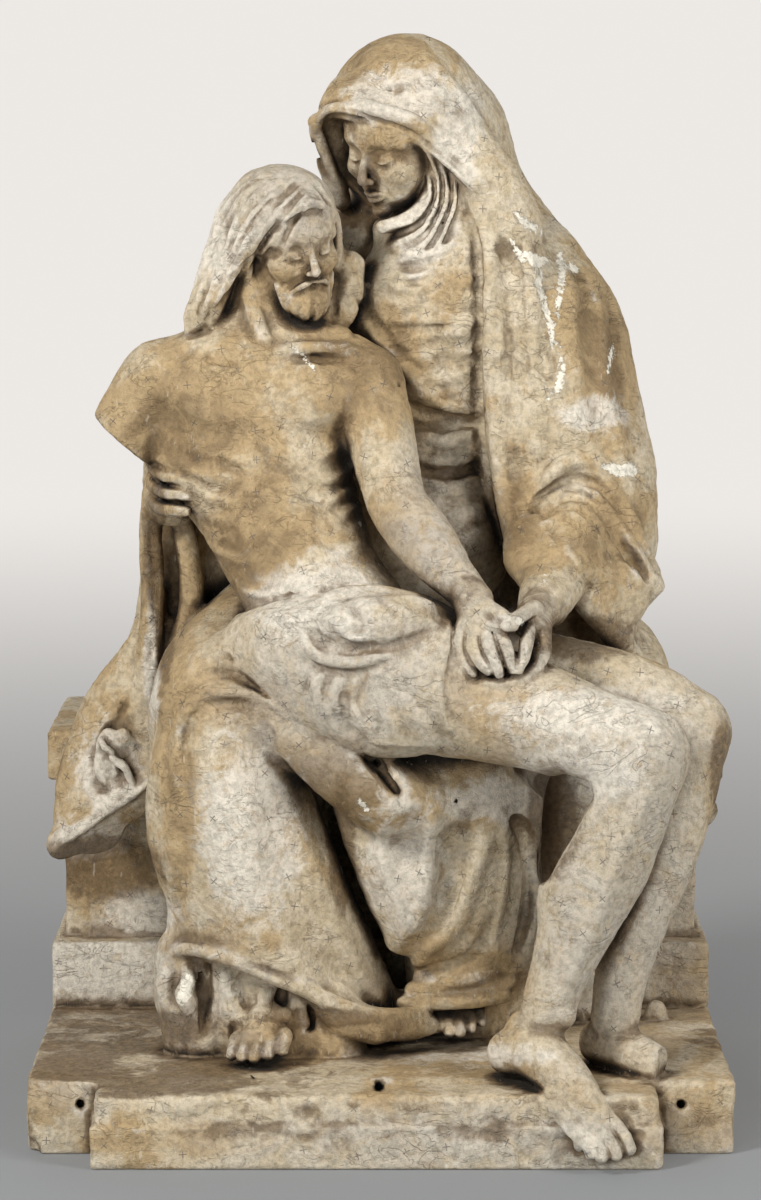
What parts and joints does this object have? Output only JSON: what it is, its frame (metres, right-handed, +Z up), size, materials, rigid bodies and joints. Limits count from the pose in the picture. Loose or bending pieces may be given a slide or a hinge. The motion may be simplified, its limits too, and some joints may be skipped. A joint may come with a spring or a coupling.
{
  "type": "pieta statue",
  "caption": "Plaster pieta: a veiled seated woman holds a dead figure across her lap, on a stepped bench and low base.",
  "frame": {"origin": "middle of the base's underside, between its two ends and below the seated figure", "axes": "+Z up, the figures face -Y, +X to the viewer's right"},
  "size_m": [0.692, 0.6582, 1.0632],
  "materials": {
    "plaster": "matte, stained plaster with worn pale patches"
  },
  "bodies": {
    "root": {"pieta_group": "plaster"}
  },
  "joints": []
}
